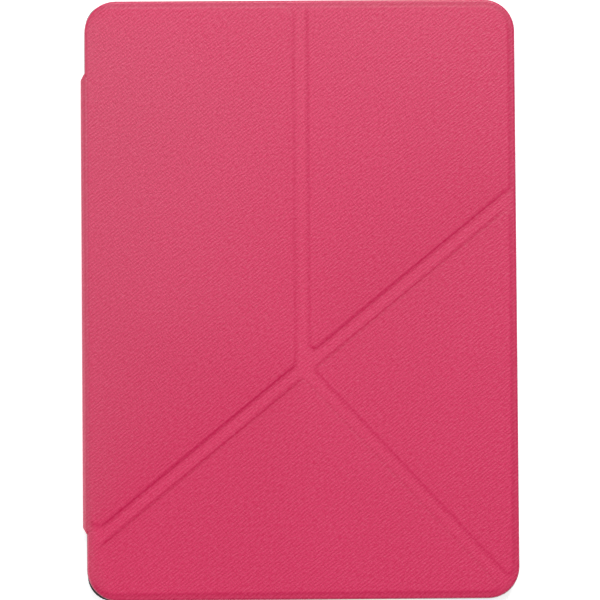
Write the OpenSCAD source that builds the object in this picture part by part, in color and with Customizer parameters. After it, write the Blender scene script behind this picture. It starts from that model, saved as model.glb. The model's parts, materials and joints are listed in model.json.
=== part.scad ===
// Folio case for a 9.7 inch tablet: a clip-on hard shell, a hinged spine strap and a cover whose
// four stiff panels fold along a Y-shaped set of creases into a stand.
// Millimetres. The closed case lies on its back: +X to the right, +Y up the cover, +Z out of it.
// The origin is the middle of the bounding box's underside.

/* [Tablet] */
// Length of the tablet that the shell holds
tablet_h = 240; // [239:0.1:241]
// Width of the tablet
tablet_w = 169.5; // [168.5:0.1:170.5]
// Thickness of the tablet
tablet_t = 7.5; // [7:0.1:8]

/* [Cover] */
// Height of the cover
cover_h = 244; // [242:0.5:248]
// Width of the cover without the spine strap
cover_w = 175.5; // [174:0.5:178]
// Radius of the cover's outer corners
cover_r = 12.8; // [10:0.2:15]
// Width of the flat leather rim outside the stiff boards
rim_w = 2.5; // [1.5:0.1:4]
// Thickness of the stiff boards
board_t = 1.2; // [0.8:0.1:1.6]
// Thickness of the outer leather
leather_t = 0.5; // [0.4:0.1:0.8]
// Thickness of the lining
lining_t = 0.4; // [0.3:0.1:0.6]

/* [Creases] */
// Place where the creases meet, right of the cover's middle
meet_x = 0.2; // [-5:0.1:5]
// Place where the creases meet, above the cover's middle
meet_y = -27.7; // [-40:0.1:-15]
// Rise of the long diagonal crease
diagonal_angle = 39.33; // [35:0.01:45]
// Half width of the soft band along the upright crease
upright_half = 2.8; // [2.5:0.1:3.5]
// Half width of the soft band along the left half of the diagonal
left_half = 3; // [2.2:0.1:3.2]
// Half width of the soft band along the right half of the diagonal
right_half = 3; // [2.8:0.1:3.5]
// Half width of the soft band towards the lower right corner
lower_half = 2.5; // [2.2:0.1:3.2]

/* [Spine] */
// Height on the cover of the spine strap's top end
strap_top = 91; // [80:1:100]
// Height on the cover of the spine strap's bottom end
strap_bottom = -93.4; // [-96:0.2:-80]
// How far the strap stands out of the cover's left edge
strap_out = 1.6; // [1.6:0.1:2.2]
// Width of the strap's soft fold on the cover
gutter_w = 2.65; // [2.4:0.05:3.2]
// Width of the strap's tail glued to the back
tail_w = 16; // [10:1:25]

/* [Shell] */
// Thickness of the shell's back
back_t = 1.2; // [1:0.1:1.6]
// Thickness of the shell's side walls
wall_t = 1; // [0.9:0.1:1.2]
// How far the corner guards stand out of the side walls
guard_out = 0.4; // [0.3:0.1:0.6]
// Length of each corner guard along a side
guard_len = 23; // [18:1:30]
// How far the lips reach over the tablet's front
lip_in = 1; // [0.8:0.1:1.5]
// Thickness of the lips
lip_t = 0.8; // [0.6:0.1:1]

/* [Hidden] */
$fn = 96;
far = 420;                                   // longer than any line across the cover
eps = 0.5;                                   // cutters run this far past a face

// Layers of the cover, from the lining up to the leather
gap = 0.2;                                   // air between parts that move past each other
slack = 0.1;                                 // tablet's play in the shell on each side
shell_top = back_t + tablet_t + lip_t;
lining_z = shell_top + gap;
board_z = lining_z + lining_t;
leather_z = board_z + board_t;
top_z = leather_z + leather_t;
rim_t = 0.8;                                 // the rim and the bands are two pressed layers
cap_wall = 0.5;                              // leather round the side of a board
fold_clear = 0.15;                           // from a crease's axis to the panels on each side

// Plan of the cover: the strap stands out on the left, so the cover is off centre
cover_x = strap_out / 2;
cover_left = cover_x - cover_w / 2;
strap_left = cover_left - strap_out;
gutter_right = strap_left + gutter_w;
meet = [cover_x + meet_x, meet_y];
corner = [cover_x + cover_w / 2, -cover_h / 2];

// Directions of the four creases from the point where they meet
up_dir = 90;
left_dir = 180 + diagonal_angle;
right_dir = diagonal_angle;
lower_dir = atan2(corner[1] - meet[1], corner[0] - meet[0]);

// The right half of the diagonal folds the other way, so its soft edges stand back further
turn_angle = 93.55;
valley_inset = fold_clear;
hill_inset = (board_z + rim_t - lining_z + fold_clear) * tan(turn_angle / 2) + fold_clear;

// Each panel: the crease on its clockwise side, the crease on its other side,
// the insets of its soft edge and the half widths of its bands along those two creases
upper_left = [up_dir, left_dir, valley_inset, valley_inset, upright_half, left_half];
upper_right = [right_dir, up_dir, hill_inset, valley_inset, right_half, upright_half];
lower_right = [lower_dir, right_dir, valley_inset, hill_inset, lower_half, right_half];
bottom = [left_dir - 360, lower_dir, valley_inset, valley_inset, left_half, lower_half];

// The shell sits a little left of and below the cover's middle
shell_w = tablet_w + 2 * (slack + wall_t);
shell_h = tablet_h + 2 * (slack + wall_t);
shell_x = cover_left + 0.3 + guard_out + shell_w / 2;
shell_y = -cover_h / 2 + 0.1 + guard_out + shell_h / 2;
shell_r = 9.8;
bay_r = shell_r - wall_t;
tail_t = 0.5;

// Magnets are slim bars sunk into the boards. Those along the free edge close the case, and
// those across the upright crease meet them when the upper right panel is folded over.
magnet = [3, 14, 0.9];
magnet_rise = 0.15;
edge_magnet_x = corner[0] - rim_w - cap_wall - 4;
upper_right_bars = [for (y = [56, 78, 100]) [edge_magnet_x, y]];
upper_left_bars = [for (m = upper_right_bars) [2 * meet[0] - m[0], m[1]]];
lower_right_bars = [for (y = [-75, -35, 5]) [edge_magnet_x, y]];
bottom_bars = [for (x = [-50, 0, 50]) [cover_x + x, corner[1] + rim_w + cap_wall + 10]];

LEATHER = [0.82, 0.27, 0.41];
LINING = [0.72, 0.68, 0.68];
BOARD = [0.55, 0.5, 0.45];
SHELL = [0.16, 0.16, 0.17];
METAL = [0.7, 0.7, 0.72];

function ray(angle) = [cos(angle), sin(angle)];

// ---- Plan shapes ----

// Rounded rectangle about the origin
module rounded_rect(w, h, r) {
  square([w, h - 2 * r], center = true);
  square([w - 2 * r, h], center = true);
  for (x = [-1, 1], y = [-1, 1])
    translate([x * (w / 2 - r), y * (h / 2 - r)])
      circle(r);
}

// The cover's outline, drawn in on all sides
module cover_outline(inset) {
  translate([cover_x, 0])
    rounded_rect(cover_w - 2 * inset, cover_h - 2 * inset, cover_r - inset);
}

// Everything between two creases, drawn in from each of them
module sector(first, second, first_in, second_in) {
  tip = meet + (second_in * ray(first) + first_in * ray(second)) / sin(second - first);
  polygon([
    tip,
    tip + far * ray(first),
    tip + far * (ray(first) + ray(second)),
    tip + far * ray(second)
  ]);
}

// A panel out to its soft edges
module soft_plan(panel, inset = 0) {
  intersection() {
    cover_outline(inset);
    sector(panel[0], panel[1], panel[2] + inset, panel[3] + inset);
  }
}

// A panel's stiff middle, and the leather round it when grown
module stiff_plan(panel, grow = 0) {
  intersection() {
    cover_outline(rim_w - grow);
    sector(panel[0], panel[1], panel[4] - grow, panel[5] - grow);
  }
}

// The stretch of the left edge that the strap covers
module strap_plan(x_from, x_to, shorten = 0) {
  translate([x_from, strap_bottom + shorten])
    square([x_to - x_from, strap_top - strap_bottom - 2 * shorten]);
}

module layer(z, t) {
  translate([0, 0, z])
    linear_extrude(t)
      children();
}

// Leaves room for the strap's soft fold at the cover's left edge
module clear_of_strap() {
  difference() {
    children();
    translate([0, 0, lining_z - eps])
      linear_extrude(top_z - lining_z + 2 * eps)
        strap_plan(strap_left - eps, gutter_right + fold_clear, -gap);
  }
}

// ---- Parts of a panel ----

module panel_skin(panel) {
  color(LEATHER)
    difference() {
      union() {
        layer(board_z, rim_t)
          soft_plan(panel);
        layer(board_z, top_z - board_z)
          stiff_plan(panel, cap_wall);
      }
      layer(board_z - eps, board_t + eps)
        stiff_plan(panel);
    }
}

module panel_board(panel, magnets) {
  color(BOARD)
    difference() {
      layer(board_z, board_t)
        stiff_plan(panel);
      for (m = magnets)
        translate([m[0], m[1], board_z + magnet_rise + magnet[2] / 2])
          cube(magnet, center = true);
    }
}

module panel_lining(panel) {
  color(LINING)
    layer(lining_z, lining_t)
      soft_plan(panel);
}

module magnet_bars(magnets) {
  color(METAL)
    for (m = magnets)
      translate([m[0], m[1], board_z + magnet_rise + magnet[2] / 2])
        cube(magnet, center = true);
}

// ---- Upper left panel ----

module upper_left_skin() {
  clear_of_strap() panel_skin(upper_left);
}

module upper_left_board() {
  panel_board(upper_left, upper_left_bars);
}

module upper_left_lining() {
  clear_of_strap() panel_lining(upper_left);
}

module upper_left_magnets() {
  magnet_bars(upper_left_bars);
}

// ---- Upper right panel ----

module upper_right_skin() {
  panel_skin(upper_right);
}

module upper_right_board() {
  panel_board(upper_right, upper_right_bars);
}

module upper_right_lining() {
  panel_lining(upper_right);
}

module upper_right_magnets() {
  magnet_bars(upper_right_bars);
}

// ---- Lower right panel ----

module lower_right_skin() {
  panel_skin(lower_right);
}

module lower_right_board() {
  panel_board(lower_right, lower_right_bars);
}

module lower_right_lining() {
  panel_lining(lower_right);
}

module lower_right_magnets() {
  magnet_bars(lower_right_bars);
}

// ---- Bottom panel ----

module bottom_skin() {
  panel_skin(bottom);
}

module bottom_board() {
  panel_board(bottom, bottom_bars);
}

module bottom_lining() {
  panel_lining(bottom);
}

module bottom_magnets() {
  magnet_bars(bottom_bars);
}

// ---- Spine strap ----

// The strap hinges at its outer edges: low down beside the shell and up at the cover
spine_low = 1.6;
spine_high = lining_z - gap;
spine_board_t = 0.8;
spine_lining_t = strap_out - leather_t - spine_board_t;

// A wall of the spine, standing up, from x_from to x_to
module spine_wall(x_from, x_to, shorten) {
  layer(spine_low, spine_high - spine_low)
    strap_plan(x_from, x_to, shorten);
}

module spine_skin() {
  color(LEATHER)
    spine_wall(strap_left, strap_left + leather_t, 0);
}

module spine_board() {
  color(BOARD)
    spine_wall(strap_left + leather_t, strap_left + leather_t + spine_board_t, 3);
}

module spine_lining() {
  color(LINING)
    spine_wall(cover_left - spine_lining_t, cover_left, 0);
}

module gutter_skin() {
  color(LEATHER)
    layer(board_z, top_z - board_z)
      strap_plan(strap_left, gutter_right - fold_clear);
}

module gutter_lining() {
  color(LINING)
    layer(lining_z, lining_t)
      strap_plan(strap_left + leather_t, gutter_right - fold_clear);
}

module spine_tail() {
  color(LEATHER)
    layer(0, tail_t)
      strap_plan(cover_left + 0.3 + guard_out, cover_left + tail_w);
}

// ---- Hard shell ----

camera = [shell_x + tablet_w / 2 - 13, shell_y + tablet_h / 2 - 12];
camera_r = 6.5;
port_low = back_t + 0.6;
port_h = shell_top - port_low + eps;

// Openings in the walls, each [middle, half length along the wall]
top_cuts = [[-tablet_w / 2 + 17, 9], [tablet_w / 2 - 19, 12]];
bottom_cuts = [[0, 44]];
right_cuts = [[tablet_h / 2 - 40, 20]];

// Outline of the shell, thicker in the corners
module shell_plan() {
  rounded_rect(shell_w, shell_h, shell_r);
  intersection() {
    rounded_rect(shell_w + 2 * guard_out, shell_h + 2 * guard_out, shell_r + guard_out);
    for (x = [-1, 1], y = [-1, 1])
      translate([x * shell_w / 2, y * shell_h / 2])
        square(2 * guard_len, center = true);
  }
}

// Walls stand to full height apart from the button and port openings and the left side, which the
// strap covers
module shell_walls() {
  difference() {
    layer(0, shell_top)
      shell_plan();
    layer(back_t, tablet_t)
      rounded_rect(tablet_w + 2 * slack, tablet_h + 2 * slack, bay_r);
    layer(back_t + tablet_t - eps, lip_t + 2 * eps)
      rounded_rect(tablet_w - 2 * lip_in, tablet_h - 2 * lip_in, bay_r - lip_in);
    wall_cutters();
  }
}

module wall_cutters() {
  for (c = top_cuts)
    translate([c[0] - c[1], shell_h / 2 - 2 * wall_t - lip_in, port_low])
      cube([2 * c[1], 4 * wall_t + lip_in, port_h]);
  for (c = bottom_cuts)
    translate([c[0] - c[1], -shell_h / 2 - 2 * wall_t, port_low])
      cube([2 * c[1], 4 * wall_t + lip_in, port_h]);
  for (c = right_cuts)
    translate([shell_w / 2 - 2 * wall_t - lip_in, c[0] - c[1], port_low])
      cube([4 * wall_t + lip_in, 2 * c[1], port_h]);
  translate([-shell_w / 2 - 2 * wall_t, -shell_h / 2 + guard_len, port_low])
    cube([4 * wall_t + lip_in, shell_h - 2 * guard_len, port_h]);
}

module back_shell() {
  color(SHELL)
    difference() {
      translate([shell_x, shell_y, 0])
        shell_walls();
      translate([camera[0], camera[1], -eps])
        cylinder(h = back_t + 2 * eps, r = camera_r);
      layer(-eps, tail_t + eps)
        strap_plan(strap_left, cover_left + tail_w);
    }
}

back_shell();
spine_tail();
spine_skin();
spine_board();
spine_lining();
gutter_skin();
gutter_lining();
upper_left_skin();
upper_left_board();
upper_left_lining();
upper_left_magnets();
upper_right_skin();
upper_right_board();
upper_right_lining();
upper_right_magnets();
lower_right_skin();
lower_right_board();
lower_right_lining();
lower_right_magnets();
bottom_skin();
bottom_board();
bottom_lining();
bottom_magnets();
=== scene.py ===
import json
import math

import bmesh
import bpy
import numpy as np
from mathutils import Matrix, Vector
from mathutils.geometry import delaunay_2d_cdt


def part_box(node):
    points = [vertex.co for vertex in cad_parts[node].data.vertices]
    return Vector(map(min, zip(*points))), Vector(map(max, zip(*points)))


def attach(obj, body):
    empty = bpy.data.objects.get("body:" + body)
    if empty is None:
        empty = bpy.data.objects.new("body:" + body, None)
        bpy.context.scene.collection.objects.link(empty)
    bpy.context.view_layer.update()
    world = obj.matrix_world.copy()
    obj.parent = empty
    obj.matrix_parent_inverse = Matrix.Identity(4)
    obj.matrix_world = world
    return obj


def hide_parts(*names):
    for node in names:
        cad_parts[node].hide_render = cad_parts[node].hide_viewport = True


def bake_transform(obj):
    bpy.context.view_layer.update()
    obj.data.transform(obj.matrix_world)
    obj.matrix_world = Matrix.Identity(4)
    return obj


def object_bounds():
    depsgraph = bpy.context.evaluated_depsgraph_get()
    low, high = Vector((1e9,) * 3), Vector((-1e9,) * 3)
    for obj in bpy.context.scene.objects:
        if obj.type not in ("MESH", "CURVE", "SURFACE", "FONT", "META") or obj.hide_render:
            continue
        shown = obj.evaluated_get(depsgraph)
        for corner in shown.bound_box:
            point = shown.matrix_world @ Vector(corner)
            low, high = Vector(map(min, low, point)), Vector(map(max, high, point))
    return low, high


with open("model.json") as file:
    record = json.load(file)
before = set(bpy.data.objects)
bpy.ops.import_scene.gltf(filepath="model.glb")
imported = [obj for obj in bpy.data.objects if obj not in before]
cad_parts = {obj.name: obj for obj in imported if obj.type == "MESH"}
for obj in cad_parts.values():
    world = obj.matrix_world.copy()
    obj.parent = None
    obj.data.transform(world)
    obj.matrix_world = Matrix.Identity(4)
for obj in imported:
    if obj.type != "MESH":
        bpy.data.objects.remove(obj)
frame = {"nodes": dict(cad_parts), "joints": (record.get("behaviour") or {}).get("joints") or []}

MM = 0.001
cad_low, cad_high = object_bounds()
joints = {joint["name"]: joint for joint in frame["joints"]}


def cad_box(node):
    """Lowest and highest corners of a CAD node, in millimetres."""
    low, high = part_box(node)
    return np.array(low) / MM, np.array(high) / MM


def joint_place(name):
    return np.array(joints[name]["pos_m"]) / MM


def plan_direction(name):
    """Direction of a joint's axis in plan."""
    return unit(np.array(joints[name]["axis"][:2], float))


def unit(vector):
    return vector / np.linalg.norm(vector)


def left_of(direction):
    """The plan direction a quarter turn anticlockwise of this one."""
    return np.array([-direction[1], direction[0]])


def smooth(low, high, values):
    """0 below low, 1 above high, and a smooth rise between."""
    share = np.clip((values - low) / (high - low), 0, 1)
    return share * share * (3 - 2 * share)


# ---- Sizes from the frame ----

COVER_LEFT, COVER_BOTTOM = cad_box("bottom_skin")[0][:2]
COVER_RIGHT = cad_box("lower_right_skin")[1][0]
COVER_TOP = cad_box("upper_left_skin")[1][1]
TOP_Z = cad_box("upper_left_skin")[1][2]
lining_low, lining_high = cad_box("upper_left_lining")
LINING_Z, UNDER_Z = lining_low[2], lining_high[2]
STRAP_LOW, STRAP_HIGH = cad_box("spine_skin")
RIM_W = COVER_RIGHT - cad_box("upper_right_board")[1][0]

MEET = joint_place("upright_crease")[:2]
FOLD_Z = joint_place("upright_crease")[2]
HINGE_X = joint_place("cover_opening")[0]
UP = np.array([0.0, 1.0])
RIGHT = plan_direction("diagonal_crease")
LEFT = -RIGHT
LOWER = plan_direction("corner_crease")

# ---- Sizes of the looks ----

COVER_R = 12.8            # radius of the cover's outer corners
SKIN_T = 0.48             # thickness of the leather
LAYER_GAP = 0.01          # kept between leather and lining
BAND_DROP = 0.09          # the soft bands lie this far below the panels
RIM_DROP = 0.15           # the rim round the panels lies this far below them
RIM_PRESS = 0.03          # depth of the pressed line between rim and panels
RIM_LINE_DARK = 0.13      # painted shade along that line
RIM_DARK = 0.15           # painted shade over the rim itself
SIDE_SHADE = 0.42          # painted shade that darkens the left edge
SIDE_GLOSS = 0.5          # gloss that the handled left edge gains
SIDE_REACH = 6.0          # the left edge's painted shade and gloss fade out over this width
EDGE_ROUND = 0.9          # radius of the leather's outer edge
EDGE_IN = 0.14            # the lining shows this far outside the leather
SPINE_SIDE_IN = 0.4       # the panels reach this near the cover's left edge
HINGE_HALF = 0.7          # the cover's leather ends and the strap's begins this far past the hinge
STRAP_JOIN = 1.0          # the cover's edge isn't rounded this far past the hinge
SPACING = 4.0             # largest distance between points along straight lines
ARC_STEP = 7.5            # largest turn between points round arcs
SHARP = 35                # edges that turn more than this aren't smoothed

# Each panel: the creases on its two sides, how far its pressed lines run from them, corner radius
PANELS = {
    "upper_left": (UP, LEFT, 2.85, 2.35, 4.5),
    "upper_right": (RIGHT, UP, 2.25, 2.85, 2.0),
    "lower_right": (LOWER, RIGHT, 2.7, 3.55, 2.0),
    "bottom": (LEFT, LOWER, 3.6, 2.75, 2.0),
}
# Each crease: its direction, half width of the bending band, depth of its pressed lines and the painted
# shade along them
CREASES = {
    "upright": (UP, 2.8, 0.025, 0.15),
    "left": (LEFT, 3.0, 0.07, 0.36),
    "right": (RIGHT, 3.0, 0.06, 0.3),
    "lower": (LOWER, 2.5, 0.025, 0.14),
}
FOLD_HALF = {name: crease[1] for name, crease in CREASES.items()}


# ---- Plan outlines ----

def arc(centre, radius, first, last):
    """Points round an arc, anticlockwise from the first direction to the last."""
    turn = (last - first) % 360
    steps = max(1, math.ceil(turn / ARC_STEP))
    angles = np.radians(first + turn * np.arange(steps + 1) / steps)
    return [centre + radius * np.array([math.cos(a), math.sin(a)]) for a in angles]


def rounded_rect(left, right, bottom, top, radius):
    """Anticlockwise outline of a rectangle with round corners."""
    centres = [
        (left + radius, bottom + radius, 180),
        (right - radius, bottom + radius, 270),
        (right - radius, top - radius, 0),
        (left + radius, top - radius, 90),
    ]
    points = []
    for x, y, first in centres:
        points += arc(np.array([x, y]), radius, first, first + 90)
    return np.array(points)


def cover_outline(inset):
    return rounded_rect(
        COVER_LEFT + inset, COVER_RIGHT - inset, COVER_BOTTOM + inset, COVER_TOP - inset, COVER_R - inset
    )


def clip(polygon, place, inward):
    """The part of a polygon on the inward side of a line through place."""
    kept = []
    for here, after in zip(polygon, np.roll(polygon, -1, 0)):
        a, b = (here - place) @ inward, (after - place) @ inward
        if a >= 0:
            kept.append(here)
        if (a >= 0) != (b >= 0):
            kept.append(here + (after - here) * a / (a - b))
    return np.array(kept)


def grown(core, distance):
    """Outline at a distance outside a convex core, round at its corners."""
    points = []
    for before, here, after in zip(np.roll(core, 1, 0), core, np.roll(core, -1, 0)):
        into, out = here - before, after - here
        if np.linalg.norm(into) < 1e-6 or np.linalg.norm(out) < 1e-6:
            continue
        first = math.degrees(math.atan2(-into[0], into[1]))
        last = math.degrees(math.atan2(-out[0], out[1]))
        points += arc(here, distance, first, last)
    return spaced(np.array(points), closed=True)


def spaced(line, closed=False):
    """The same line with extra points, so that none are further apart than the spacing."""
    ends = np.roll(line, -1, 0) if closed else line[1:]
    points = []
    for start, end in zip(line, ends):
        steps = max(1, math.ceil(np.linalg.norm(end - start) / SPACING))
        points += [start + (end - start) * i / steps for i in range(steps)]
    if not closed:
        points.append(line[-1])
    return np.array(points)


def inside(polygon, places):
    """True for each place inside the polygon."""
    x, y = places[:, :1], places[:, 1:]
    x0, y0 = polygon.T
    x1, y1 = np.roll(polygon, -1, 0).T
    rise = np.where(y1 == y0, 1e-12, y1 - y0)
    crosses = ((y0 > y) != (y1 > y)) & (x < x0 + (y - y0) * (x1 - x0) / rise)
    return crosses.sum(1) % 2 == 1


def depth_in(polygon, places):
    """How far each place lies inside the polygon; negative outside."""
    nearest = np.full(len(places), np.inf)
    for start, end in zip(polygon, np.roll(polygon, -1, 0)):
        along = end - start
        share = np.clip(((places - start) @ along) / max(along @ along, 1e-12), 0, 1)
        nearest = np.minimum(nearest, np.linalg.norm(places - start - share[:, None] * along, axis=1))
    return np.where(inside(polygon, places), nearest, -nearest)


def panel_core(name):
    """A panel drawn in by the radius of its corners."""
    first, second, first_in, second_in, radius = PANELS[name]
    core = rounded_rect(
        COVER_LEFT + SPINE_SIDE_IN + radius,
        COVER_RIGHT - RIM_W - radius,
        COVER_BOTTOM + RIM_W + radius,
        COVER_TOP - RIM_W - radius,
        COVER_R - RIM_W - radius,
    )
    core = clip(core, MEET + (first_in + radius) * left_of(first), left_of(first))
    return clip(core, MEET - (second_in + radius) * left_of(second), -left_of(second))


CORES = {name: panel_core(name) for name in PANELS}


# ---- Heights and shades ----

LINE_HALF = 0.55          # half width of a pressed line
LINE_DARK_HALF = 1.0      # half width of its painted shade
PANEL_STEP = (-1.3, 1.1)  # outside to inside a pressed line: the leather rises to the panel
FLOOR_TURN = (1.5, 5)     # distances from the edge: the rim's drop turns into the bands' drop
LINE_TURN = (3, 9)        # distances from the edge: rim lines turn into crease lines
RIM_FADE = (1.9, 3.4)     # distances from the edge: the rim's painted shade fades out
LINING_FOLLOW = 0.6       # share of the leather's fall that the lining's lower face follows
MEET_SOFTNESS = 0.5       # crease lines blend into each other within about this distance
MEET_POWER = 6            # higher values switch faster from one crease's line to the next


def crease_values(places):
    """Depth and painted shade of the pressed lines, blended between the creases round their meeting point.
    """
    weights = []
    for direction, *_ in CREASES.values():
        along, side = (places - MEET) @ direction, (places - MEET) @ left_of(direction)
        away = np.where(along > 0, np.abs(side), np.linalg.norm(places - MEET, axis=1))
        weights.append(1 / (away + MEET_SOFTNESS) ** MEET_POWER)
    weights = np.array(weights) / np.sum(weights, 0)
    values = np.array([crease[2:] for crease in CREASES.values()])
    return values.T @ weights


def relief(places):
    """Fall of the leather below the panels and the distance from the cover's edge."""
    depth = depth_in_panels(places)
    from_edge = depth_in(cover_outline(0), places)
    press = RIM_PRESS + (crease_values(places)[0] - RIM_PRESS) * smooth(*LINE_TURN, from_edge)
    floor = RIM_DROP + (BAND_DROP - RIM_DROP) * smooth(*FLOOR_TURN, from_edge)
    fall = floor * (1 - smooth(*PANEL_STEP, depth)) + press * np.exp(-(depth / LINE_HALF) ** 2)
    return fall, from_edge


def depth_in_panels(places):
    """How far each place lies inside its panel's pressed line; negative outside."""
    return np.max([PANELS[name][4] + depth_in(CORES[name], places) for name in PANELS], axis=0)


def shades(places):
    """Painted shade in the leather's colour along its pressed lines, over its rim and at its left edge, and
    how matt it is, at plan places.
    """
    from_edge = depth_in(cover_outline(0), places)
    # painted shade along the pressed lines, from the rim's line into the creases' own
    dark = RIM_LINE_DARK + (crease_values(places)[1] - RIM_LINE_DARK) * smooth(*LINE_TURN, from_edge)
    line = dark * np.exp(-(depth_in_panels(places) / LINE_DARK_HALF) ** 2)
    # painted shade over the rim round the panels
    rim = RIM_DARK * (1 - smooth(*RIM_FADE, from_edge))
    # painted shade towards the strap's left edge, which also gains gloss
    side = side_share(places[:, 0])
    return np.maximum(line + rim, SIDE_SHADE * side), line - SIDE_GLOSS * side


def side_share(x):
    """Grows from 0 to 1 towards the strap's outer face."""
    return 1 - smooth(0, SIDE_REACH, x - STRAP_LOW[0])


def at_strap(places, right):
    """True for each place left of a limit and between the strap's ends."""
    return (places[:, 0] < right) & (places[:, 1] > STRAP_LOW[1]) & (places[:, 1] < STRAP_HIGH[1])


def leather_top(places):
    """Height of the leather's face, which rounds over at the cover's edge."""
    fall, from_edge = relief(places)
    left = np.clip(EDGE_ROUND - (from_edge - EDGE_IN), 0, EDGE_ROUND)
    rounding = EDGE_ROUND - np.sqrt(EDGE_ROUND ** 2 - left ** 2)
    return TOP_Z - fall - np.where(at_strap(places, HINGE_X + STRAP_JOIN), 0, rounding)


def leather_under(places):
    return np.maximum(leather_top(places) - SKIN_T, UNDER_Z + LAYER_GAP)


def lining_top(places):
    return np.full(len(places), UNDER_Z)


def lining_under(places):
    return LINING_Z + LINING_FOLLOW * relief(places)[0]


# ---- Meshes ----

def make_piece(name, points, faces, plan, material, dark=0.0, matt=0.0):
    """An object from points in millimetres, with plan coordinates in millimetres as its UV map."""
    mesh = bpy.data.meshes.new(name)
    mesh.from_pydata((np.array(points) * MM).tolist(), [], faces)
    shape = bmesh.new()
    shape.from_mesh(mesh)
    bmesh.ops.recalc_face_normals(shape, faces=shape.faces)
    shape.to_mesh(mesh)
    shape.free()
    corner_points = np.zeros(len(mesh.loops), int)
    mesh.loops.foreach_get("vertex_index", corner_points)
    layer = mesh.uv_layers.new(name="plan")
    layer.data.foreach_set("uv", np.array(plan, np.float32)[corner_points].ravel())
    # dark carries painted shade into the leather's colour; matt lowers its gloss
    for key, shade in (("dark", dark), ("matt", matt)):
        values = np.broadcast_to(shade, len(points)).astype(np.float32)
        mesh.attributes.new(key, "FLOAT", "POINT").data.foreach_set("value", values)
    mesh.polygons.foreach_set("use_smooth", [True] * len(mesh.polygons))
    mesh.set_sharp_from_angle(angle=math.radians(SHARP))
    mesh.materials.append(material)
    mesh.update()
    piece = bpy.data.objects.new(name, mesh)
    bpy.context.scene.collection.objects.link(piece)
    return piece


def triangulate(region, lines):
    """Points and anticlockwise triangles over a plan region; their edges follow the lines."""
    points, edges = [], []
    for line, closed in [(region, True)] + lines:
        first = len(points)
        points += [Vector(p) for p in line]
        edges += [(first + i, first + i + 1) for i in range(len(line) - 1)]
        if closed:
            edges.append((len(points) - 1, first))
    made = delaunay_2d_cdt(points, edges, [], 0, 1e-4)
    places = np.array([list(p) for p in made[0]])
    triangles = np.array([list(f) for f in made[2]])
    triangles = triangles[inside(region, places[triangles].mean(1))]
    corner = places[triangles]
    along, across = corner[:, 1] - corner[:, 0], corner[:, 2] - corner[:, 0]
    turn = along[:, 0] * across[:, 1] - along[:, 1] * across[:, 0]
    triangles[turn < 0] = triangles[turn < 0][:, ::-1]
    return places, triangles[np.abs(turn) > 1e-9]


def boundary(triangles):
    """Directed edges that only one triangle has."""
    edges = {}
    for a, b, c in triangles.tolist():
        for edge in ((a, b), (b, c), (c, a)):
            edges[edge] = True
    return [edge for edge in edges if edge[::-1] not in edges]


def sheet(name, places, triangles, top, under, material):
    """A closed sheet over plan triangles, between two surfaces."""
    used, triangles = np.unique(triangles, return_inverse=True)
    places, triangles = places[used], triangles.reshape(-1, 3)
    count = len(places)
    points = np.vstack([np.column_stack([places, top(places)]), np.column_stack([places, under(places)])])
    faces = triangles.tolist() + (triangles[:, ::-1] + count).tolist()
    faces += [(b, a, a + count, b + count) for a, b in boundary(triangles)]
    dark, matt = (np.tile(shade, 2) for shade in shades(places))
    return make_piece(name, points, faces, np.vstack([places, places]), material, dark, matt)


# ---- Materials ----

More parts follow.
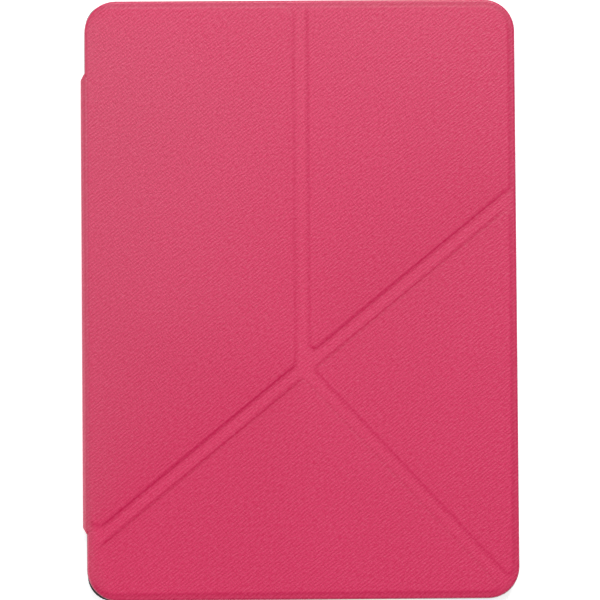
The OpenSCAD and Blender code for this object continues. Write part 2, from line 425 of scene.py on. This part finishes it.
class Shader:
    """A node material that is put together one node at a time."""

    def __init__(self, name, **uniform):
        self.material = bpy.data.materials.new(name)
        self.material.use_nodes = True
        self.tree = self.material.node_tree
        self.surface = self.tree.nodes["Principled BSDF"]
        for socket, value in uniform.items():
            self.surface.inputs[socket.replace("_", " ")].default_value = value

    def add(self, kind, inputs=None, **settings):
        """A new node; an input is another node's output or a value."""
        node = self.tree.nodes.new("ShaderNode" + kind)
        for key, value in settings.items():
            setattr(node, key, value)
        for key, value in (inputs or {}).items():
            if isinstance(value, bpy.types.NodeSocket):
                self.tree.links.new(value, node.inputs[key])
            else:
                node.inputs[key].default_value = value
        return node

    def plan(self, turn=0.0, scale=(1, 1)):
        """Plan coordinates in millimetres, turned and scaled."""
        uv = self.add("UVMap", uv_map="plan").outputs["UV"]
        return self.mapped(uv, turn, (scale[0], scale[1], 1))

    def solid(self):
        """The object's own coordinates in millimetres."""
        place = self.add("TexCoord").outputs["Object"]
        return self.mapped(place, 0, (1 / MM, 1 / MM, 1 / MM))

    def mapped(self, vector, turn, scale):
        """Coordinates turned about Z, then scaled."""
        turned = self.add("Mapping", {"Vector": vector, "Rotation": (0, 0, math.radians(turn))})
        return self.add("Mapping", {"Vector": turned.outputs[0], "Scale": scale}).outputs[0]

    def noise(self, vector, scale, detail=2.0, roughness=0.5):
        inputs = {"Vector": vector, "Scale": scale, "Detail": detail, "Roughness": roughness}
        return self.add("TexNoise", inputs).outputs["Fac"]

    def wave(self, vector, period, distortion, detail, detail_scale):
        """Straight bands along X, a period apart; at scale 1 the texture repeats every 2 pi / 20."""
        inputs = {
            "Vector": vector,
            "Scale": 2 * math.pi / 20 / period,
            "Distortion": distortion,
            "Detail": detail,
            "Detail Scale": detail_scale,
        }
        return self.add("TexWave", inputs, bands_direction="Y").outputs["Fac"]

    def math(self, operation, a, b):
        return self.add("Math", {0: a, 1: b}, operation=operation).outputs[0]

    def mix(self, share, first, second):
        """From the first colour at share 0 to the second at 1, by the Mix node's colour sockets."""
        inputs = {"Factor": share, 6: first, 7: second}
        return self.add("Mix", inputs, data_type="RGBA", blend_type="MIX").outputs[2]

    def attribute(self, name):
        return self.add("Attribute", attribute_name=name).outputs["Fac"]

    def total(self, *parts):
        """Sum of (share, value) pairs."""
        made = self.math("MULTIPLY", parts[0][1], parts[0][0])
        for share, value in parts[1:]:
            made = self.math("ADD", made, self.math("MULTIPLY", value, share))
        return made

    def ramp(self, factor, *stops):
        """A colour ramp with stops of a position and an sRGB colour."""
        node = self.add("ValToRGB", {"Fac": factor})
        elements = node.color_ramp.elements
        while len(elements) < len(stops):
            elements.new(0.5)
        for element, (at, colour) in zip(elements, stops):
            element.position = at
            element.color = linear(*colour)
        return node.outputs["Color"]

    def finish(self, colour, height, depth, strength=1.0, roughness=None):
        """Connects the colour and a bump of that depth in millimetres."""
        self.tree.links.new(colour, self.surface.inputs["Base Color"])
        bump = self.add("Bump", {"Height": height, "Distance": depth * MM, "Strength": strength})
        self.tree.links.new(bump.outputs[0], self.surface.inputs["Normal"])
        if roughness is not None:
            self.tree.links.new(roughness, self.surface.inputs["Roughness"])
        return self.material


def linear(red, green, blue):
    """Opaque linear colour of an sRGB one."""
    shares = (red / 255, green / 255, blue / 255)
    return (*(c / 12.92 if c <= 0.04045 else ((c + 0.055) / 1.055) ** 2.4 for c in shares), 1)


TWILL_TURN = 38.5         # rise of the grain's diagonal lines
TWILL_PERIOD = 1.25       # between those lines
GRAIN_DEPTH = 0.07        # depth of the grain's bump
SHADE_COLOUR = (150, 2, 44)    # the leather's colour where the painted shade is full


def leather_material():
    """Pink leather with a fine diagonal twill, broken up by dashes, specks and faint patches."""
    shader = Shader("pink_leather", Roughness=0.45, Specular_IOR_Level=0.7)
    along = shader.plan(-TWILL_TURN)
    twill = shader.wave(along, TWILL_PERIOD, distortion=2.4, detail=2.0, detail_scale=1.4)
    dashes = shader.noise(shader.mapped(along, 0, (0.55, 1.8, 1)), 1.0, 2.0)
    crossing = shader.noise(shader.mapped(along, 0, (1.9, 0.6, 1)), 1.0, 2.0)
    specks = shader.noise(shader.plan(), 2.1, 2.0, 0.6)
    patches = shader.noise(shader.plan(), 0.02, 2.0)
    ridges = shader.math("MULTIPLY", twill, crossing)
    height = shader.total((0.5, ridges), (0.8, dashes), (0.6, crossing), (0.9, specks))
    tone = shader.total((0.38, ridges), (0.37, dashes), (0.28, crossing), (0.5, specks), (0.08, patches))
    colour = shader.ramp(tone, (0.35, (192, 8, 69)), (0.62, (208, 12, 81)), (0.9, (226, 44, 103)))
    # Painted shade: the dark attribute mixes the colour towards a deeper pink along the pressed lines, over
    # the rim and at the strap's left edge
    pressed = shader.mix(shader.attribute("dark"), colour, linear(*SHADE_COLOUR))
    gloss = shader.math("ADD", shader.math("MULTIPLY", dashes, 0.7), 0.35)
    gloss = shader.math("SUBTRACT", gloss, shader.attribute("matt"))
    shader.tree.links.new(gloss, shader.surface.inputs["Specular IOR Level"])
    rough = shader.math("ADD", shader.math("MULTIPLY", specks, 0.16), 0.32)
    return shader.finish(pressed, height, GRAIN_DEPTH, roughness=rough)


def lining_material():
    """Grey microfibre with a fine nap and soft strokes."""
    shader = Shader("grey_microfibre", Roughness=0.9, Specular_IOR_Level=0.15, Sheen_Weight=0.35)
    nap = shader.noise(shader.plan(0, (1.2, 0.8)), 1.6, 4.0, 0.65)
    strokes = shader.noise(shader.plan(12, (0.05, 0.3)), 1.0, 3.0)
    tone = shader.total((0.6, nap), (0.4, strokes))
    colour = shader.ramp(tone, (0.3, (128, 122, 124)), (0.7, (172, 166, 168)))
    return shader.finish(colour, nap, 0.08, 0.7)


def shell_material():
    """Dark moulded plastic, finely textured and slightly smudged."""
    shader = Shader("dark_shell", Roughness=0.42, Specular_IOR_Level=0.5)
    place = shader.solid()
    texture = shader.noise(place, 3.0, 3.0, 0.6)
    smudges = shader.noise(place, 0.03, 3.0)
    tone = shader.total((0.5, texture), (0.5, smudges))
    colour = shader.ramp(tone, (0.3, (34, 34, 36)), (0.7, (50, 50, 53)))
    rough = shader.math("ADD", shader.total((0.25, texture), (0.2, smudges)), 0.2)
    return shader.finish(colour, texture, 0.03, 0.6, rough)


def board_material():
    """Pulp board with fibres."""
    shader = Shader("grey_board", Roughness=0.85, Specular_IOR_Level=0.2)
    fibres = shader.noise(shader.solid(), 1.5, 5.0, 0.7)
    colour = shader.ramp(fibres, (0.3, (128, 118, 104)), (0.7, (166, 156, 140)))
    return shader.finish(colour, fibres, 0.05, 0.6)


def magnet_material():
    """Brushed nickel plate."""
    shader = Shader("nickel_plate", Metallic=1.0, Roughness=0.3)
    brushing = shader.noise(shader.mapped(shader.solid(), 0, (0.3, 4, 4)), 1.0, 3.0)
    colour = shader.ramp(brushing, (0.3, (168, 168, 172)), (0.7, (204, 204, 208)))
    return shader.finish(colour, brushing, 0.01, 0.4)


LEATHER = leather_material()
LINING = lining_material()
SHELL = shell_material()
BOARD = board_material()
MAGNET = magnet_material()


# ---- Cover: leather and lining in three sheets each ----

SEAM_X = HINGE_X + HINGE_HALF
# Mesh lines: this far in from the cover's edge, and this far inside the pressed lines
RING_DEPTHS = (0.04, 0.12, 0.26, 0.5, 0.8, 1.3, 2.0)
LINE_DEPTHS = (-1.6, -1.2, -0.9, -0.65, -0.45, -0.25, -0.08, 0.08, 0.25, 0.45, 0.65, 0.9, 1.2)
FOLD_LINES = 13           # mesh lines across a band that bends
REACH = 260               # length of a crease line, to past the cover's edge
SEAM_PAST = 1.0           # the lines of the strap's seam run this far past the cover's edge


def crease_line(direction, side, first=0.0, last=REACH):
    """A line along a crease, off to its left by side."""
    start = MEET + side * left_of(direction)
    return spaced(np.array([start + first * direction, start + last * direction])), False


def cover_lines(depths):
    """Lines along everything that is pressed, bent or cut in the cover."""
    lines = []
    for name, core in CORES.items():
        lines += [(grown(core, PANELS[name][4] - depth), True) for depth in depths]
    for direction, half in ((UP, "upright"), (RIGHT, "right"), (LOWER, "lower")):
        lines += [crease_line(direction, side) for side in np.linspace(-1, 1, FOLD_LINES) * FOLD_HALF[half]]
    lines.append(crease_line(LEFT, 0))
    half = FOLD_HALF["right"]
    lines.append(crease_line(left_of(RIGHT), 0, -half, half))
    bottom, top = STRAP_LOW[1], STRAP_HIGH[1]
    outside = COVER_LEFT - SEAM_PAST
    seam = [(outside, bottom), (SEAM_X, bottom), (SEAM_X, top), (outside, top)]
    lines.append((spaced(np.array(seam)), False))
    return lines


def cover_sheets(part, edge_in, depths, rings, top, under, material):
    """Upper, lower and turning sheets of the leather or the lining, split along the diagonal crease."""
    lines = cover_lines(depths) + [(spaced(cover_outline(edge_in + ring), True), True) for ring in rings]
    places, triangles = triangulate(spaced(cover_outline(edge_in), True), lines)
    middle = places[triangles].mean(1)
    along, side = (middle - MEET) @ RIGHT, (middle - MEET) @ left_of(RIGHT)
    half = FOLD_HALF["right"]
    edge = np.where(along > 0, half, 0)
    wanted = {
        "upper": ~at_strap(middle, SEAM_X) & (side > edge),
        "lower": side < -edge,
        "turn": (along > 0) & (np.abs(side) < half),
    }
    bends = {
        "upper": ("upper_left", "upper_right", left_of(UP), FOLD_HALF["upright"]),
        "lower": ("lower_right", "bottom", left_of(LOWER), FOLD_HALF["lower"]),
        "turn": ("upper_right", "lower_right", left_of(RIGHT), half),
    }
    for key, chosen in wanted.items():
        piece = sheet(f"{key}_{part}", places, triangles[chosen], top, under, material)
        first, second, across, reach = bends[key]
        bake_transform(piece)
        if key != "turn":
            node = "skin" if part == "leather" else "lining"
            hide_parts(f"{first}_{node}", f"{second}_{node}")


cover_sheets("leather", EDGE_IN, LINE_DEPTHS, RING_DEPTHS, leather_top, leather_under, LEATHER)
cover_sheets("lining", 0.0, LINE_DEPTHS[::2], (0.5, 2.0), lining_top, lining_under, LINING)


# ---- Leather knuckle that shows where the left half of the diagonal opens ----

KNUCKLE_TURN = 78         # its section turns this far down
KNUCKLE_T = 0.4           # thickness
KNUCKLE_DROP = 0.03       # it lies this far below the band's face
KNUCKLE_END = 2.5         # it stops this far short of the meeting point and the cover's edge
KNUCKLE_ROWS = 24         # sections along it
KNUCKLE_POINTS = 13       # points round each face of its section


def knuckle():
    """Part of a tube along the left half of the diagonal, inside the bottom panel's band."""
    radius = TOP_Z - BAND_DROP - FOLD_Z - KNUCKLE_DROP
    length = (MEET[0] - COVER_LEFT) / abs(LEFT[0])
    stations = np.linspace(KNUCKLE_END, length - KNUCKLE_END, KNUCKLE_ROWS)
    down = left_of(LEFT)
    points, plan, faces = [], [], []
    angles = np.radians(np.linspace(0, KNUCKLE_TURN, KNUCKLE_POINTS))
    section = [(r * math.sin(a), r * math.cos(a)) for r in (radius, radius - KNUCKLE_T) for a in angles]
    count = len(section)
    for station in stations:
        for across, height in section:
            place = MEET + station * LEFT + across * down
            points.append((*place, FOLD_Z + height))
            plan.append(place)
    loop = list(range(len(angles))) + list(range(count - 1, len(angles) - 1, -1))
    for row in range(len(stations) - 1):
        for a, b in zip(loop, loop[1:] + loop[:1]):
            faces.append([row * count + a, row * count + b, (row + 1) * count + b, (row + 1) * count + a])
    faces += [loop[::-1], [(len(stations) - 1) * count + i for i in loop]]
    piece = make_piece("diagonal_knuckle", points, faces, plan, LEATHER)
    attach(piece, "upper_left")


knuckle()


# ---- Strap: leather outside and lining inside ----

STRAP_ROUND = (2.0, 1.6)  # width and height of the round where the strap turns down
BASE_ROUND = 1.35         # radius where it turns under the shell
END_SLOPE = 1.4           # its ends slope this far each way
SLOPE_IN = 0.2            # the slope ends this far inside the cover's left edge
SPLIT_Z = 6.0             # height where its upper and lower leather meet
STRAP_LINING_T = 0.3      # thickness of its lining
STRAP_GAP = 0.1           # between the leather and the lining over the hinge
LINING_TURN = 0.75        # its lining turns over the hinge with this radius
HINGE_LINE = (0.06, 0.4)  # depth and half width of the faint line over the hinge
LINING_BASE = 1.7         # height where the strap's lining starts
LINING_SHORT = 0.4        # the lining's straight part stops this far short of its round
BACK_SHORT = 0.7          # the back leather's straight part stops this far short of its round
ROUND_PAST = 1.0          # straight parts that follow a round start this far past it

# Places in the strap's section
strap_left = STRAP_LOW[0]
tail_right = cad_box("spine_tail")[1][0]
corner_x, corner_z = strap_left + STRAP_ROUND[0], TOP_Z - STRAP_ROUND[1]
base_x = strap_left + BASE_ROUND
spine_in = cad_box("spine_lining")[1][0]
turn_x, turn_z = spine_in + LINING_TURN, cad_box("gutter_lining")[0][2]
arc_z = turn_z - LINING_TURN


def strap_ends(place):
    """Lowest and highest Y of the strap where its section passes a place."""
    out = np.clip((COVER_LEFT - place[0]) / (COVER_LEFT - strap_left), 0, 1)
    shift = END_SLOPE * (1 - 2 * out) if place[0] < COVER_LEFT + SLOPE_IN else 0
    return STRAP_LOW[1] - shift, STRAP_HIGH[1] + shift


def swept(name, outer, inner, material):
    """A closed strip: a section of outer and inner (x, z) points carried along the strap."""
    length = np.concatenate([[0], np.cumsum(np.linalg.norm(np.diff(outer, axis=0), axis=1))])
    rows = max(2, math.ceil((STRAP_HIGH[1] - STRAP_LOW[1]) / SPACING))
    loop = list(outer) + list(inner[::-1])
    along = list(length) + list(length[::-1])
    count = len(loop)
    points, plan, faces = [], [], []
    for row in range(rows + 1):
        for i, (x, z) in enumerate(loop):
            low, high = strap_ends(outer[min(i, count - 1 - i)])
            y = low + (high - low) * row / rows
            points.append((x, y, z))
            plan.append((outer[0][0] - along[i], y))
    for row in range(rows):
        for i in range(count):
            a, b = row * count + i, row * count + (i + 1) % count
            faces.append((a, b, b + count, a + count))
    for first in (0, rows * count):
        for i in range(len(outer) - 1):
            faces.append((first + i, first + i + 1, first + count - 2 - i, first + count - 1 - i))
    # painted shade towards the strap's left edge, which also gains gloss
    side = side_share(np.array(points)[:, 0])
    return make_piece(name, points, faces, plan, material, SIDE_SHADE * side, -SIDE_GLOSS * side)


def offset_section(outer, thickness):
    """The section's inner side, a thickness to the left of its run."""
    along = np.gradient(outer, axis=0)
    along /= np.linalg.norm(along, axis=1)[:, None]
    return outer + thickness * np.column_stack([-along[:, 1], along[:, 0]])


def strap_piece(name, section, thickness, bodies, start, end, replaced, slot="leather"):
    """A strip of the strap, in place of a CAD node; bodies, start and end are not used."""
    outer = np.array(section)
    material = LEATHER if slot == "leather" else LINING
    piece = swept(name, outer, offset_section(outer, thickness), material)
    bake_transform(piece)
    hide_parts(replaced)


def quarter(centre_x, centre_z, across, up, first, count=11):
    """Points of a quarter turn of an ellipse in X and Z, anticlockwise from a direction."""
    angles = np.radians(first + np.linspace(0, 90, count))
    return [(centre_x + across * math.cos(a), centre_z + up * math.sin(a)) for a in angles]


def hinge_section():
    """From the cover's seam over the faint hinge line to where the strap starts to round over."""
    depth, half = HINGE_LINE
    xs = np.linspace(SEAM_X, strap_left + STRAP_ROUND[0], 16)
    return [(x, TOP_Z - depth * math.exp(-((x - HINGE_X) / half) ** 2)) for x in xs]


def upright_run(x, first_z, last_z, count):
    """Points of a straight upright part of a section."""
    return [(x, z) for z in np.linspace(first_z, last_z, count)]


def level_run(first_x, last_x, z, count):
    """Points of a straight level part of a section."""
    return [(x, z) for x in np.linspace(first_x, last_x, count)]


top_section = (
    quarter(corner_x, corner_z, *STRAP_ROUND, 90)
    + upright_run(strap_left, corner_z - ROUND_PAST, SPLIT_Z, 5)
)
back_section = (
    upright_run(strap_left, SPLIT_Z, BASE_ROUND + BACK_SHORT, 5)
    + quarter(base_x, BASE_ROUND, BASE_ROUND, BASE_ROUND, 180)
    + level_run(base_x + ROUND_PAST, tail_right, 0, 6)
)
lining_section = (
    upright_run(spine_in, LINING_BASE, arc_z - LINING_SHORT, 6)
    + quarter(turn_x, arc_z, LINING_TURN, LINING_TURN, 90)[::-1]
)
hinge_bend = ("gutter", "upper_left"), (HINGE_X - HINGE_HALF, TOP_Z), (SEAM_X, TOP_Z)
hinge_t = TOP_Z - turn_z - STRAP_LINING_T - STRAP_GAP
strap_piece("strap_hinge_leather", hinge_section(), hinge_t, *hinge_bend, "gutter_skin")
strap_piece(
    "strap_top_leather", top_section, SKIN_T,
    ("spine", "gutter"), (strap_left, corner_z), (corner_x, TOP_Z), "spine_skin",
)
strap_piece(
    "strap_back_leather", back_section, SKIN_T,
    ("spine", "shell"), (strap_left, BASE_ROUND), (base_x, 0), "spine_tail",
)
strap_piece(
    "strap_lining", lining_section, STRAP_LINING_T,
    ("spine", "gutter"), (spine_in, arc_z), (turn_x, turn_z), "spine_lining", "lining",
)
strap_piece(
    "strap_hinge_lining", level_run(turn_x, SEAM_X, turn_z, 10), STRAP_LINING_T,
    *hinge_bend, "gutter_lining", "lining",
)


# ---- CAD nodes that show or lie inside ----

BEVEL_W = 0.3             # width of the shell's softened edges
BEVEL_SHARP = 40          # edges that turn more than this are softened


def finish_nodes():
    """Materials for the CAD nodes that stay, and soft edges for the shell."""
    for name, node in frame["nodes"].items():
        if node.hide_render:
            continue
        material = MAGNET if "magnets" in name else BOARD if "board" in name else SHELL
        node.data.materials.clear()
        node.data.materials.append(material)
        if material is SHELL:
            bevel = node.modifiers.new("soft_edges", "BEVEL")
            bevel.width = BEVEL_W * MM
            bevel.segments = 2
            bevel.limit_method = "ANGLE"
            bevel.angle_limit = math.radians(BEVEL_SHARP)


finish_nodes()


# ---- Camera, light and floor ----

VIEW_HEIGHT = 243.8       # height seen at the cover's face
VIEW_FROM = 1600.0        # distance of the camera
VIEW_AT = (0.15, -0.38)   # middle of the view on the cover's face
LEAN = (-0.02, -0.04)     # the camera stands this far off straight above, as slopes
ROLL = 0.44               # turn of the camera about its own axis
WORLD_STRENGTH = 0.33
FLOOR_HALF_M = 3.0        # half the floor's side, in metres
FLOOR_GAP_M = 0.0001      # between the floor and the case, in metres


def add_camera():
    camera = bpy.data.cameras.new("camera")
    camera.lens = camera.sensor_width * VIEW_FROM / VIEW_HEIGHT
    target = Vector((*VIEW_AT, TOP_Z)) * MM
    back = Vector((*LEAN, 1)).normalized()
    up = Vector((math.sin(math.radians(ROLL)), math.cos(math.radians(ROLL)), 0))
    right = up.cross(back).normalized()
    up = back.cross(right)
    holder = bpy.data.objects.new("camera", camera)
    turn = Matrix((right, up, back)).transposed().to_4x4()
    holder.matrix_world = Matrix.Translation(target + back * VIEW_FROM * MM) @ turn
    bpy.context.scene.collection.objects.link(holder)
    bpy.context.scene.camera = holder


def add_light(name, place_m, size_m, power):
    """A square lamp that faces the case."""
    light = bpy.data.lights.new(name, "AREA")
    light.size = size_m
    light.energy = power
    holder = bpy.data.objects.new(name, light)
    holder.location = place_m
    holder.rotation_euler = (-Vector(place_m)).to_track_quat("-Z", "Y").to_euler()
    bpy.context.scene.collection.objects.link(holder)


def add_world():
    world = bpy.data.worlds.new("studio")
    world.use_nodes = True
    background = world.node_tree.nodes["Background"]
    background.inputs["Color"].default_value = (1, 1, 1, 1)
    background.inputs["Strength"].default_value = WORLD_STRENGTH
    bpy.context.scene.world = world


def add_floor():
    mesh = bpy.data.meshes.new("floor")
    half = FLOOR_HALF_M
    low = cad_low.z - FLOOR_GAP_M
    corners = [(-half, -half, low), (half, -half, low), (half, half, low), (-half, half, low)]
    mesh.from_pydata(corners, [], [(0, 1, 2, 3)])
    floor = bpy.data.objects.new("floor", mesh)
    shader = Shader("pale_floor", Roughness=0.8, Specular_IOR_Level=0.1, Emission_Strength=0.6)
    shader.surface.inputs["Base Color"].default_value = (0.92, 0.92, 0.92, 1)
    shader.surface.inputs["Emission Color"].default_value = (1, 1, 1, 1)
    mesh.materials.append(shader.material)
    bpy.context.scene.collection.objects.link(floor)


bpy.context.scene.view_settings.view_transform = "Standard"
add_camera()
add_light("key", place_m=(0.84, 4.16, 4.24), size_m=1.7, power=170)
add_light("sheen", place_m=(0.1, 1.45, 3.6), size_m=0.9, power=34)
add_light("side", place_m=(-1.5, -0.3, 1.0), size_m=1.2, power=8.5)
add_world()
add_floor()
